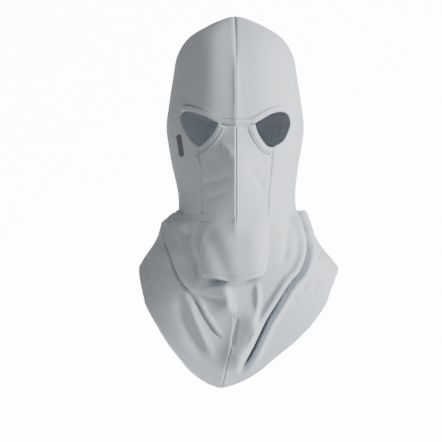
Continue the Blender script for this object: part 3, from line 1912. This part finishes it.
HEAD_RINGS = (
    (-0.105, 0.1038, 0.0915, 0.0703, 0.0730), (-0.0756, 0.1103, 0.0932, 0.0683, 0.0780),
    (-0.0452, 0.1168, 0.0938, 0.0719, 0.0900), (-0.0200, 0.1092, 0.0926, 0.0762, 0.0965),
    (0.0040, 0.1015, 0.0897, 0.0790, 0.0995), (0.0293, 0.1003, 0.0891, 0.0762, 0.1010),
    (0.0599, 0.0938, 0.0838, 0.0715, 0.0980), (0.0851, 0.0814, 0.0726, 0.0668, 0.0880),
    (0.1051, 0.0631, 0.0561, 0.0545, 0.0735), (0.1197, 0.0431, 0.0372, 0.0324, 0.0540),
    (0.1284, 0.0236, 0.0195, 0.0134, 0.0330), (0.1330, 0.0, 0.0, 0.0, 0.0),
)
BIB_RINGS = (
    (-0.0950, 0.0979, 0.0856, 0.0699, 0.0750), (-0.1007, 0.0979, 0.0852, 0.0798, 0.0780),
    (-0.1292, 0.0932, 0.0832, 0.0960, 0.0800), (-0.1501, 0.0885, 0.0797, 0.1122, 0.0880),
    (-0.1748, 0.0850, 0.0773, 0.1280, 0.0960), (-0.2394, 0.0814, 0.0720, 0.1501, 0.1120),
    (-0.3002, 0.0814, 0.0726, 0.1620, 0.1200),
)
FLAP_RINGS = (
    (-0.1045, 0.1044, 0.0909, 0.0869, 0.0730), (-0.1365, 0.1048, 0.0928, 0.0869, 0.0730),
    (-0.1737, 0.1042, 0.0928, 0.0869, 0.0730),
)

DENT, RIDGE, STEP = FoldKind.DENT, FoldKind.RIDGE, FoldKind.STEP
TUCK, TRENCH = FoldKind.TUCK, FoldKind.TRENCH

HEAD_SEAM = ((133, 0.9), (68, 0.5), (10, 0.2), (0, 0.2), (-4, 1.7), (-98, 1.7), (-105, 0.8))
HEAD_DRIFT = ((0, 0, 0, 0), (-40, 0, 0, 0), (-75, 4, 0, 1), (-95, 5.5, 0, 2), (-105, 5.5, 0, 2))
BIB_SEAM = ((-95, 0.1), (-165, 0.15), (-235, 0.3), (-250, 1.2), (-290, 1.2))

HEAD_FOLDS = (
    Fold(((-18, 2.0), (-8, 0.1), (9, 0.1), (20, 2.2)), DENT, 1.3, 2.6, ends=(0.1, 0.1)),
    # the seams of the mask
    *(
        Fold(tuple((side * x, z) for x, z in EYES[side].seam), DENT, 0.75, 1.5, ends=(0, 0))
        for side in (RIGHT, LEFT)
    ),
    Fold(((-18, -24), (-10, -25), (-3.5, -38)), RIDGE, 4.0, 0.9),
    Fold(((-34, -34), (-24, -38), (-14, -52), (-6, -66)), DENT, 6.0, 1.1),
    Fold(((-37, -63), (-22, -60), (-4, -55)), DENT, 3.5, 0.7),
    Fold(((-35, -80), (-22, -77), (-11, -71)), DENT, 3.5, 0.7),
    Fold(((14, -44), (26, -62), (35, -80)), DENT, 4.5, 1.5),
    Fold(((0, 133), (-0.5, 110), (0, 88), (0, 68)), DENT, 2.4, 1.3, ends=(0, 0.3)),
    Fold(((0, 72), (0, 50), (0.5, 30), (0, 16)), RIDGE, 2.2, 0.5),
    Fold(((62, -80), (59, -95), (57, -112)), DENT, 4.0, 1.5, ends=(0.4, 0)),
)

BIB_FOLDS = (
    Fold(
        ((-88, -128), (-80, -137), (-86, -151), (-93, -169), (-106, -195)), DENT, 0.9, 0.8,
        ends=(0.1, 0),
    ),
    Fold(((58, -165), (66, -191), (82, -212), (100, -240)), DENT, 0.9, 0.8, ends=(0.1, 0)),
    # the neck's edge over the ring round it, on the wearer's left and right
    Fold(
        ((-1, -270), (12, -251), (24, -225), (32, -209), (42, -193), (56.5, -170), (67, -158),
         (74, -140), (74, -122), (68, -100), (66, -92)), TRENCH, 5.2, 27.0, 2.2, ends=(0.2, 0.1),
    ),
    Fold(
        ((-64, -93), (-71, -108), (-75, -116), (-72, -130), (-67, -143), (-63, -155), (-55, -170),
         (-49, -179), (-32, -207)), TUCK, 4.6, 10.0, 4.0, ends=(0.02, 0.3),
    ),
    Fold(((-46, -186), (-39, -194), (-32, -207), (-23, -221), (-14, -232)), TUCK, 3.0, 4.5, 1.8),
    Fold(((1, -208), (0.5, -215), (-2.5, -230), (-4, -242)), DENT, 1.8, 2.2),
    Fold(((-66, -168), (-56, -208), (-43, -238), (-34, -262)), DENT, 7.0, 2.6, ends=(0.35, 0.5)),
    Fold(((-57, -180), (-44, -213), (-31, -240), (-22, -260)), RIDGE, 5.0, 2.8, ends=(0.3, 0.5)),
    Fold(((-38, -164), (-20, -168.5), (-5, -171), (10, -169.5), (28, -164)), DENT, 3.0, 6.0),
    Fold(((-6, -187), (-35, -185), (-53, -178)), STEP, 3.4, -3.6),
    Fold(((-2, -206), (-5, -188), (-9, -168)), STEP, 6.6, 7.0, ends=(0.3, 0.1)),
    Fold(((23, -168), (24, -188), (22, -210)), RIDGE, 3.2, 3.4, ends=(0.3, 0.4)),
    Fold(
        ((-1, -272), (7, -253), (14, -240), (21, -224), (24, -206), (25, -190)), STEP, 6.6, 11.0,
        ends=(0.2, 0.35),
    ),
    Fold(((-58, -106), (-55, -130), (-49, -148), (-42, -172)), DENT, 5.0, 7.5, ends=(0.15, 0.3)),
    Fold(((62, -93), (59, -110), (55, -137), (49, -154)), DENT, 4.0, 3.0, ends=(0.1, 0.3)),
    Fold(((80, -171), (76, -176), (72, -181)), DENT, 2.4, 1.6),
    Fold(((94, -168), (89, -176), (84, -184)), DENT, 2.6, 1.6),
    Fold(((99, -134), (95, -141), (90, -147)), DENT, 2.4, 2.2),
)

FLAP_FOLDS = (
    Fold(((-38, -112), (-24, -130), (-12, -160), (-8, -172)), DENT, 9.0, 2.0, ends=(0.2, 0.0)),
    Fold(((14, -106), (20, -130), (22, -168)), RIDGE, 9.0, 1.6, ends=(0.3, 0.0)),
    Fold(((45, -104), (44, -125), (43, -150), (40, -172)), DENT, 9.0, 8.0, ends=(0.25, 0)),
    Fold(((-47, -104), (-49, -125), (-48, -150), (-46, -172)), DENT, 7.5, 6.0, ends=(0.25, 0)),
)

FLAP_OUTLINE = (
    (38, -103), (38.5, -118), (38.5, -135), (36, -152), (33, -159.5), (26, -163), (10, -167.2),
    (-5, -168.7), (-20, -166), (-32, -162.3), (-36.4, -159), (-39, -148), (-41.5, -136),
    (-42, -122), (-40, -103),
)

BIB_DRIFT = (
    (-95, 5.5, 0, 2), (-105, -2, 0, 4), (-120, 2, 0, 1), (-138, 3, 0, 1), (-157, 6, 0, 2),
    (-167, 6, -2, -1), (-180, 5, -4, -3), (-195, 2, -4, -2), (-220, 1, -2, -5),
    (-240, -2, -5, -11), (-257, -3, -9, -20), (-275, -9, -13, -20), (-290, -16, -17, -17),
)


def declare_cloth(maker: Maker) -> None:
    """Say how big each panel is when it lies flat, and which trims go with it."""
    trims = {
        "side_panel_left": (
            "brow_band", "brow_topstitch", "eye_facing_left", "crown_seam_overlock",
            "side_seam_overlock_left", "neck_seam_overlock",
        ),
        "side_panel_right": (
            "eye_facing_right", "side_seam_overlock_right", "temple_patch", "bar_tacks",
        ),
        "mask_panel_left": ("eye_binding_left", "eye_topstitch_left", "mask_seam_overlock"),
        "mask_panel_right": ("eye_binding_right", "eye_topstitch_right"),
        "neck_front_left": ("bib_front_seam_overlock", "bib_side_seam_overlock_left"),
        "neck_front_right": ("bib_side_seam_overlock_right",),
        "bib_side_left": ("bib_hem", "hem_topstitch", "bib_back_seam_overlock"),
        "bib_side_right": (),
        "chin_flap_panel": ("chin_flap_topstitch",),
        "chin_flap_lining": (),
    }
    cuts = {
        "side_panel": ((0.31, 0.30), 0.061, "stretched"),
        "mask_panel": ((0.075, 0.125), 0.0048, "stretched"),
        "neck_front": ((0.115, 0.21), 0.0145, "hung"),
        "bib_side": ((0.29, 0.18), 0.027, "hung"),
        "chin_flap": ((0.082, 0.066), 0.0050, "hung"),
    }
    for node, pieces in trims.items():
        flat, area, held = next(cut for name, cut in cuts.items() if node.startswith(name))
        maker.cloth(node, flat, area, held, pieces)


def main() -> None:
    """Build every piece of the balaclava and the studio."""
    logging.basicConfig(level=logging.INFO, format="%(message)s")
    head_form = Form(HEAD_RINGS, 22.0, 0.004)
    head = Cloth(head_form, HEAD_FOLDS, HEAD_SEAM, HEAD_DRIFT)
    bib = Cloth(
        Form(BIB_RINGS, 8.0, upper=head_form, joins=(0.7, 0.98), lip=0.0045),
        BIB_FOLDS, BIB_SEAM, BIB_DRIFT,
    )
    flap = Cloth(Form(FLAP_RINGS, 0.0, upper=head_form), FLAP_FOLDS, ((-100, 1.0), (-118, 0.0)))
    wardrobe = Wardrobe({
        "hood_knit": Knit(),
        "trim_knit": Knit(colour=(0.590, 0.622, 0.662)),
        "thread": Yarn((0.075, 0.078, 0.085)),
        "hem_thread": Yarn((0.40, 0.41, 0.43)),
        "overlock": Yarn((0.55, 0.56, 0.58), roughness=0.9),
        "patch": Yarn((0.19, 0.19, 0.20), roughness=0.8, twist=0.0012),
        "paper": Backdrop(),
        "screen": Backdrop(glow=12.0),
    })
    maker = Maker(wardrobe)
    for group in (
        Hood(head), EyeTrims(head), Bib(bib), ChinFlap(flap, FLAP_OUTLINE), Details(head),
    ):
        group.build(maker)
    declare_cloth(maker)
    Studio().build(wardrobe)


if __name__ == "__main__":
    main()
